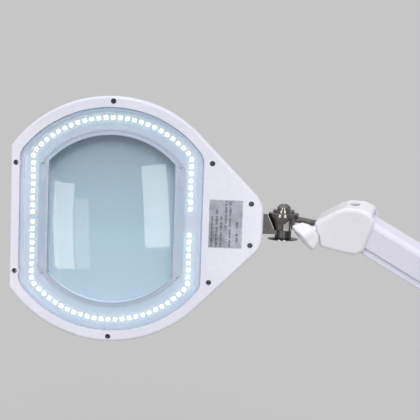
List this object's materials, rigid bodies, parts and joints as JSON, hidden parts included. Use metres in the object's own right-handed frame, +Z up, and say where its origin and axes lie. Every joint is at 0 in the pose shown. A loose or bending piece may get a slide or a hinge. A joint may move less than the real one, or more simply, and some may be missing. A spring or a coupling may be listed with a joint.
{
  "type": "magnifying lamp",
  "caption": "Clamp-on bench magnifying lamp: two jointed channel arms, a knuckle, and a flat-sided round lens head ringed with small lights under a clear cover.",
  "frame": {"origin": "on the clamp's seat, the underside of its upper jaw, straight under the swivel axis", "axes": "+Z up along the swivel axis; the arms lie in the XZ plane and the head hangs out towards -X"},
  "size_m": [0.735, 0.1516, 0.9484],
  "materials": {
    "white_housing": "fine satin",
    "clear_cover": "gloss",
    "white_tray": "satin",
    "led_board": "satin",
    "led_chip": "gloss",
    "lens_glass": "polished",
    "black_rubber": "matte",
    "dark_screw": "satin",
    "circuit": "satin",
    "label": "satin",
    "button_grey": "satin",
    "dark_bracket": "satin",
    "polished_metal": "polished",
    "steel": "satin",
    "white_cover": "satin",
    "white_arm": "satin powder",
    "white_link": "satin powder",
    "cast_core": "as cast",
    "white_clamp": "powder coat",
    "grey_washer": "satin"
  },
  "bodies": {
    "clamp": {"clamp_body": "white_clamp"},
    "clamp_pad": {"clamp_pad": "white_clamp", "pad_liner": "black_rubber"},
    "clamp_screw": {"clamp_screw": "steel", "clamp_handle": "steel"},
    "base": {"base_core": "cast_core", "base_stem": "steel", "base_cover_near": "white_cover", "base_cover_far": "white_cover", "base_pins": "steel", "base_screws": "dark_screw", "swivel_washer": "grey_washer", "power_inlet": "black_rubber"},
    "lower_arm": {"lower_arm_channel": "white_arm", "lower_arm_anchor_pin": "steel"},
    "lower_link": {"lower_arm_link": "white_link", "lower_arm_springs": "steel"},
    "elbow": {"elbow_core": "cast_core", "elbow_cover_near": "white_cover", "elbow_cover_far": "white_cover", "elbow_pins": "steel", "elbow_screws": "dark_screw"},
    "upper_arm": {"upper_arm_channel": "white_arm", "upper_arm_anchor_pin": "steel"},
    "upper_link": {"upper_arm_link": "white_link", "upper_arm_springs": "steel"},
    "hood": {"hood_shell": "white_cover", "hood_core": "cast_core", "hood_pins": "steel", "hood_screws": "dark_screw"},
    "knob": {"clamp_knob": "white_cover"},
    "knuckle": {"knuckle_hub": "polished_metal", "knuckle_bolt": "polished_metal", "knuckle_washer": "polished_metal", "knuckle_nut": "polished_metal", "head_rod": "polished_metal", "rod_ring": "steel"},
    "head": {"front_bezel": "white_housing", "rear_housing": "white_housing", "light_cover": "clear_cover", "reflector_tray": "white_tray", "led_board_upper": "led_board", "led_board_lower": "led_board", "led_chips_upper": "led_chip", "led_chips_lower": "led_chip", "lens": "lens_glass", "lens_gasket": "black_rubber", "lens_frame": "white_tray", "head_screws": "dark_screw", "driver_board": "circuit", "switch_body": "circuit", "rating_label": "label", "dust_cover_pin": "steel", "head_bracket": "dark_bracket", "bracket_screws": "steel", "flange_washer": "polished_metal"},
    "button": {"power_button": "button_grey"},
    "dust_lid": {"dust_cover": "white_housing"}
  },
  "joints": [
    {"name": "pad_slide", "type": "slide", "parent": "clamp", "child": "clamp_pad", "axis": [0, 0, 1], "range_m": [-0.03, 0.032]},
    {"name": "screw_turn", "type": "hinge", "parent": "clamp_pad", "child": "clamp_screw", "pos_m": [-0.016, 0, -0.1], "axis": [0, 0, 1], "range_deg": [-3700, 3900]},
    {"name": "base_swivel", "type": "hinge", "parent": "clamp", "child": "base", "pos_m": [0, 0, 0.02], "axis": [0, 0, 1], "continuous": true},
    {"name": "lower_arm_tilt", "type": "hinge", "parent": "base", "child": "lower_arm", "pos_m": [0, 0, 0.08], "axis": [0, 1, 0], "range_deg": [-40, 30]},
    {"name": "lower_link_tilt", "type": "hinge", "parent": "base", "child": "lower_link", "pos_m": [0.01559, 0, 0.071], "axis": [0, 1, 0], "range_deg": [-40, 30]},
    {"name": "elbow_level", "type": "hinge", "parent": "lower_arm", "child": "elbow", "pos_m": [0.19, 0, 0.40909], "axis": [0, 1, 0], "range_deg": [-30, 40], "stiffness_Nm_per_rad": 12.2, "springref_deg": 57.3},
    {"name": "upper_arm_tilt", "type": "hinge", "parent": "elbow", "child": "upper_arm", "pos_m": [0.198, 0, 0.46109], "axis": [0, 1, 0], "range_deg": [-24, 34]},
    {"name": "upper_link_tilt", "type": "hinge", "parent": "elbow", "child": "upper_link", "pos_m": [0.18927, 0, 0.44535], "axis": [0, 1, 0], "range_deg": [-24, 34]},
    {"name": "hood_level", "type": "hinge", "parent": "upper_arm", "child": "hood", "pos_m": [-0.13436, 0, 0.64532], "axis": [0, 1, 0], "range_deg": [-34, 24], "stiffness_Nm_per_rad": 4.6, "springref_deg": 57.3},
    {"name": "knob_turn", "type": "hinge", "parent": "hood", "child": "knob", "pos_m": [-0.19166, -0.0247, 0.62532], "axis": [-0.6723, -0.4013, -0.6221], "range_deg": [0, 180]},
    {"name": "head_roll", "type": "hinge", "parent": "hood", "child": "knuckle", "pos_m": [-0.21736, 0, 0.64332], "axis": [0.9903, 0, -0.1392], "range_deg": [-10, 95]},
    {"name": "head_pitch", "type": "hinge", "parent": "knuckle", "child": "head", "pos_m": [-0.21736, 0, 0.64132], "axis": [-0.0068, 0.16, 0.9871], "range_deg": [-50, 50]},
    {"name": "lid_hinge", "type": "hinge", "parent": "head", "child": "dust_lid", "pos_m": [-0.30585, -0.00076, 0.63425], "axis": [0.0068, -0.16, -0.9871], "range_deg": [0, 100]},
    {"name": "button_press", "type": "slide", "parent": "head", "child": "button", "axis": [0.2556, -0.954, 0.1564], "range_m": [0, 0.0015], "stiffness_N_per_m": 600, "springref_m": -0.001}
  ],
  "couplings": [
    {"joint": "screw_turn", "follows": "pad_slide", "rad_per_m": 2094.4},
    {"joint": "lower_link_tilt", "follows": "lower_arm_tilt", "ratio": 1},
    {"joint": "elbow_level", "follows": "lower_arm_tilt", "ratio": -1},
    {"joint": "upper_link_tilt", "follows": "upper_arm_tilt", "ratio": 1},
    {"joint": "hood_level", "follows": "upper_arm_tilt", "ratio": -1}
  ]
}
